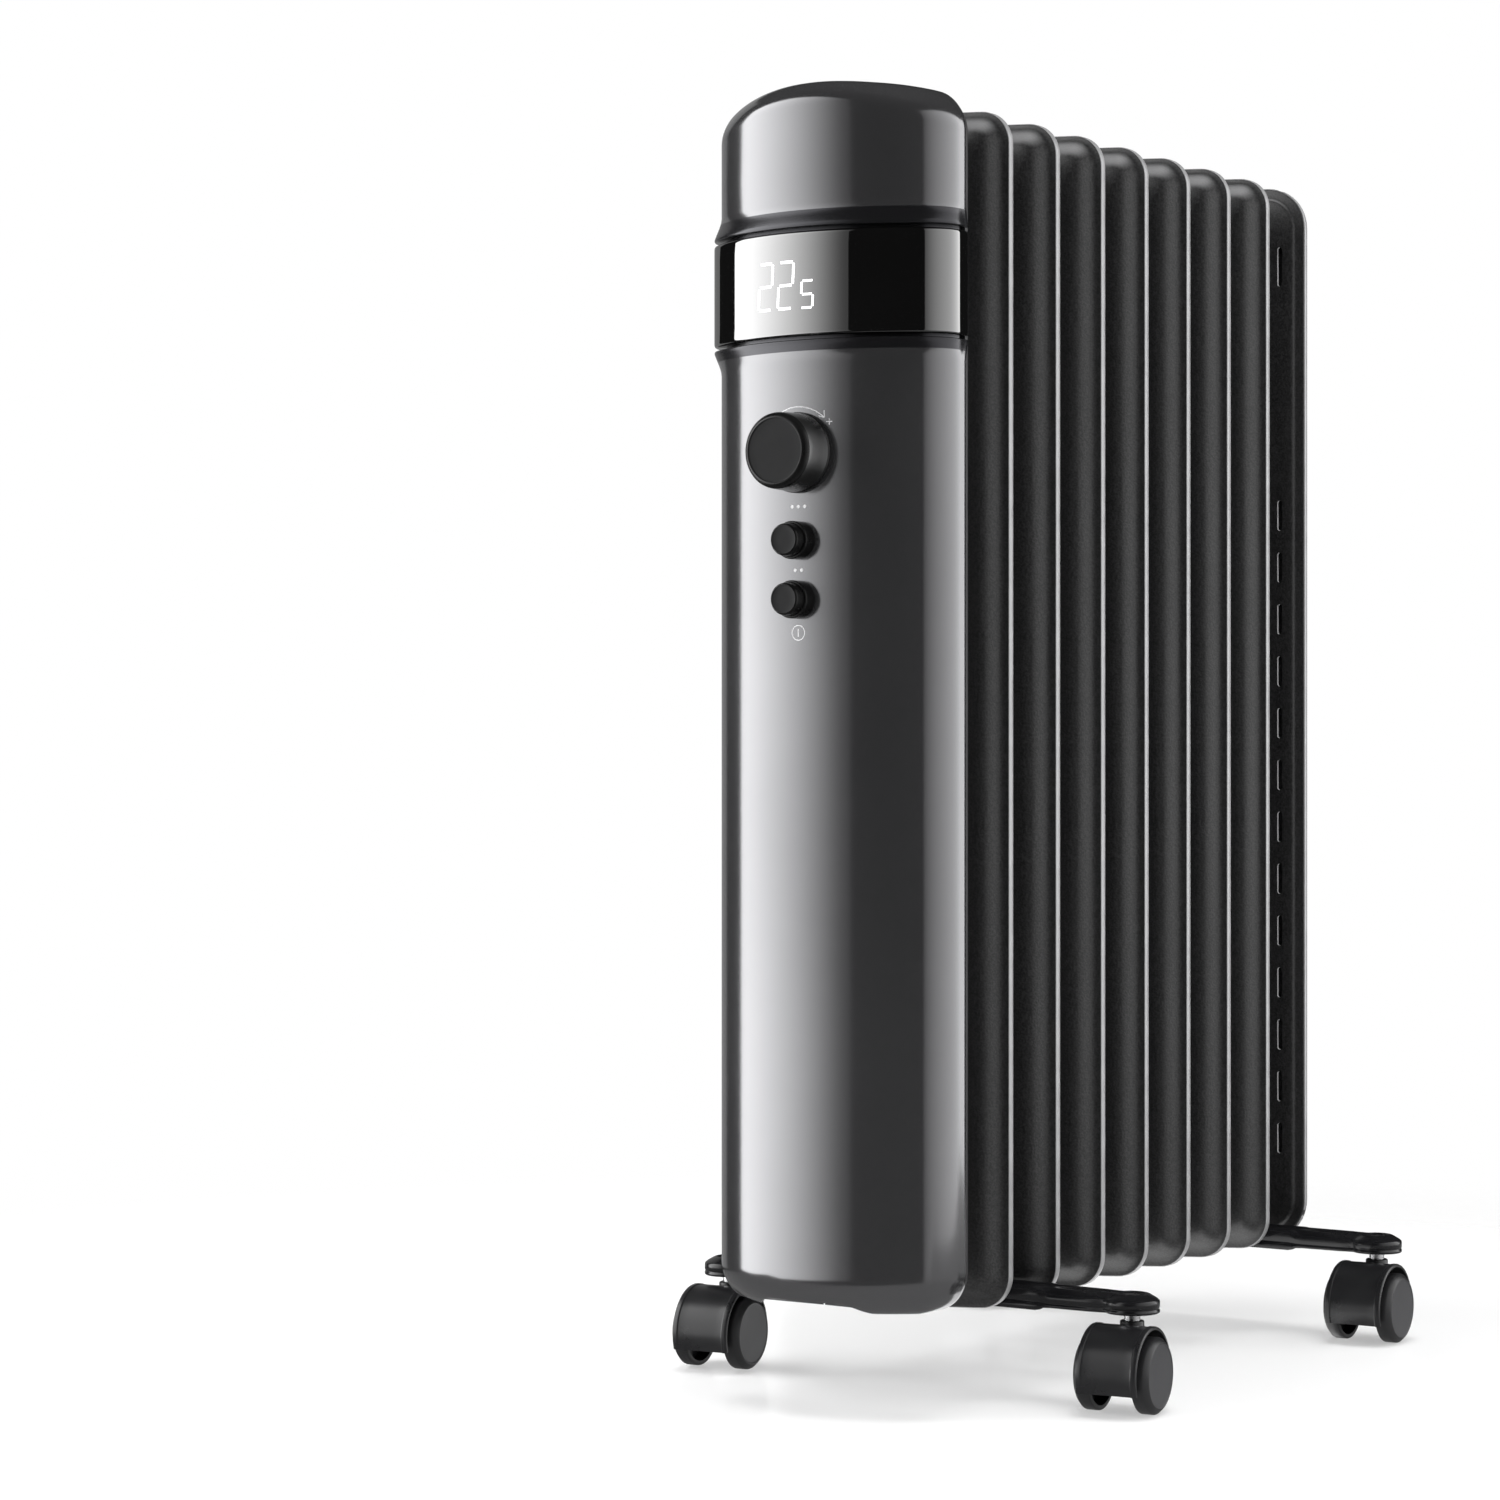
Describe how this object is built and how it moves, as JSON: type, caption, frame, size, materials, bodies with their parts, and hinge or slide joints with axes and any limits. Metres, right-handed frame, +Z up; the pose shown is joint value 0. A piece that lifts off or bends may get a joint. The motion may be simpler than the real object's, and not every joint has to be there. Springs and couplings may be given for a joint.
{
  "type": "oil filled radiator heater",
  "caption": "Upright oil filled radiator on four swivel twin-wheel casters, with a rounded control housing, a display band, a turning knob and push buttons at the front.",
  "frame": {"origin": "on the floor, at the middle of the heater's length and width", "axes": "+Z up, +Y from the control housing towards the rear cover, +X to the right of someone facing the controls"},
  "size_m": [0.286, 0.4362, 0.649],
  "materials": {
    "core_paint": "fine textured powder coat",
    "steel_plain": "zinc plated",
    "heater_sheath": "satin",
    "seal": "matt",
    "housing_paint": "satin metallic graphite",
    "display_gloss": "high gloss black",
    "inner_plastic": "matt moulded",
    "circuit_board": "solder mask",
    "control_black": "satin moulded",
    "gland_black": "matt",
    "bar_paint": "satin black",
    "caster_plastic": "satin moulded",
    "wheel_plastic": "satin moulded",
    "marking_white": "printed ink",
    "display_light": "lit display segment"
  },
  "bodies": {
    "root": {"button_bezels": "control_black", "cable_gland": "gland_black", "caster_stems": "steel_plain", "control_board": "circuit_board", "cover_backing": "core_paint", "cover_spacers": "steel_plain", "display_band": "display_gloss", "display_module": "inner_plastic", "element_1": "core_paint", "element_2": "core_paint", "element_3": "core_paint", "element_4": "core_paint", "element_5": "core_paint", "element_6": "core_paint", "element_7": "core_paint", "encoder_body": "inner_plastic", "front_foot_bar": "bar_paint", "header_caps": "core_paint", "heater_collar": "steel_plain", "heater_flange": "steel_plain", "heater_gasket": "seal", "heater_tubes": "heater_sheath", "housing_body": "housing_paint", "housing_cap": "housing_paint", "housing_screws": "steel_plain", "mounting_plate": "inner_plastic", "power_board": "circuit_board", "rear_cover": "core_paint", "rear_foot_bar": "bar_paint", "relays": "inner_plastic", "stem_nuts": "steel_plain", "tact_switches": "inner_plastic", "terminal_block": "inner_plastic", "thermal_cutout": "inner_plastic", "tip_over_switch": "inner_plastic", "u_bolts": "steel_plain", "upper_spacer": "steel_plain", "wing_nuts": "steel_plain"},
    "caster_front_left": {"caster_axle_front_left": "steel_plain", "caster_hood_front_left": "caster_plastic"},
    "caster_front_right": {"caster_axle_front_right": "steel_plain", "caster_hood_front_right": "caster_plastic"},
    "caster_rear_left": {"caster_axle_rear_left": "steel_plain", "caster_hood_rear_left": "caster_plastic"},
    "caster_rear_right": {"caster_axle_rear_right": "steel_plain", "caster_hood_rear_right": "caster_plastic"},
    "knob": {"encoder_shaft": "steel_plain", "knob": "control_black"},
    "mode_button": {"mode_button": "control_black"},
    "power_button": {"power_button": "control_black"},
    "wheel_front_left_left": {"wheel_front_left_left": "wheel_plastic"},
    "wheel_front_left_right": {"wheel_front_left_right": "wheel_plastic"},
    "wheel_front_right_left": {"wheel_front_right_left": "wheel_plastic"},
    "wheel_front_right_right": {"wheel_front_right_right": "wheel_plastic"},
    "wheel_rear_left_left": {"wheel_rear_left_left": "wheel_plastic"},
    "wheel_rear_left_right": {"wheel_rear_left_right": "wheel_plastic"},
    "wheel_rear_right_left": {"wheel_rear_right_left": "wheel_plastic"},
    "wheel_rear_right_right": {"wheel_rear_right_right": "wheel_plastic"}
  },
  "joints": [
    {"name": "caster_front_right_swivel", "type": "hinge", "parent": "root", "child": "caster_front_right", "pos_m": [0.12, -0.0831, 0.0425], "axis": [0, 0, 1], "continuous": true},
    {"name": "wheel_front_right_right_roll", "type": "hinge", "parent": "caster_front_right", "child": "wheel_front_right_right", "pos_m": [0.13669, -0.09264, 0.01875], "axis": [0.9925, 0.1219, 0], "continuous": true},
    {"name": "wheel_front_right_left_roll", "type": "hinge", "parent": "caster_front_right", "child": "wheel_front_right_left", "pos_m": [0.10612, -0.09639, 0.01875], "axis": [0.9925, 0.1219, 0], "continuous": true},
    {"name": "caster_front_left_swivel", "type": "hinge", "parent": "root", "child": "caster_front_left", "pos_m": [-0.12, -0.0831, 0.0425], "axis": [0, 0, 1], "continuous": true},
    {"name": "wheel_front_left_right_roll", "type": "hinge", "parent": "caster_front_left", "child": "wheel_front_left_right", "pos_m": [-0.10331, -0.09264, 0.01875], "axis": [0.9925, 0.1219, 0], "continuous": true},
    {"name": "wheel_front_left_left_roll", "type": "hinge", "parent": "caster_front_left", "child": "wheel_front_left_left", "pos_m": [-0.13388, -0.09639, 0.01875], "axis": [0.9925, 0.1219, 0], "continuous": true},
    {"name": "caster_rear_right_swivel", "type": "hinge", "parent": "root", "child": "caster_rear_right", "pos_m": [0.12, 0.1919, 0.0425], "axis": [0, 0, 1], "continuous": true},
    {"name": "wheel_rear_right_right_roll", "type": "hinge", "parent": "caster_rear_right", "child": "wheel_rear_right_right", "pos_m": [0.13598, 0.18122, 0.01875], "axis": [0.9986, 0.0523, 0], "continuous": true},
    {"name": "wheel_rear_right_left_roll", "type": "hinge", "parent": "caster_rear_right", "child": "wheel_rear_right_left", "pos_m": [0.10522, 0.17961, 0.01875], "axis": [0.9986, 0.0523, 0], "continuous": true},
    {"name": "caster_rear_left_swivel", "type": "hinge", "parent": "root", "child": "caster_rear_left", "pos_m": [-0.12, 0.1919, 0.0425], "axis": [0, 0, 1], "continuous": true},
    {"name": "wheel_rear_left_right_roll", "type": "hinge", "parent": "caster_rear_left", "child": "wheel_rear_left_right", "pos_m": [-0.10612, 0.17861, 0.01875], "axis": [0.9925, -0.1219, 0], "continuous": true},
    {"name": "wheel_rear_left_left_roll", "type": "hinge", "parent": "caster_rear_left", "child": "wheel_rear_left_left", "pos_m": [-0.13669, 0.18236, 0.01875], "axis": [0.9925, -0.1219, 0], "continuous": true},
    {"name": "knob_turn", "type": "hinge", "parent": "root", "child": "knob", "pos_m": [0, -0.2075, 0.466], "axis": [0, -1, 0], "continuous": true},
    {"name": "mode_press", "type": "slide", "parent": "root", "child": "mode_button", "axis": [0, 1, 0], "range_m": [0, 0.002], "stiffness_N_per_m": 400},
    {"name": "power_press", "type": "slide", "parent": "root", "child": "power_button", "axis": [0, 1, 0], "range_m": [0, 0.002], "stiffness_N_per_m": 400}
  ]
}
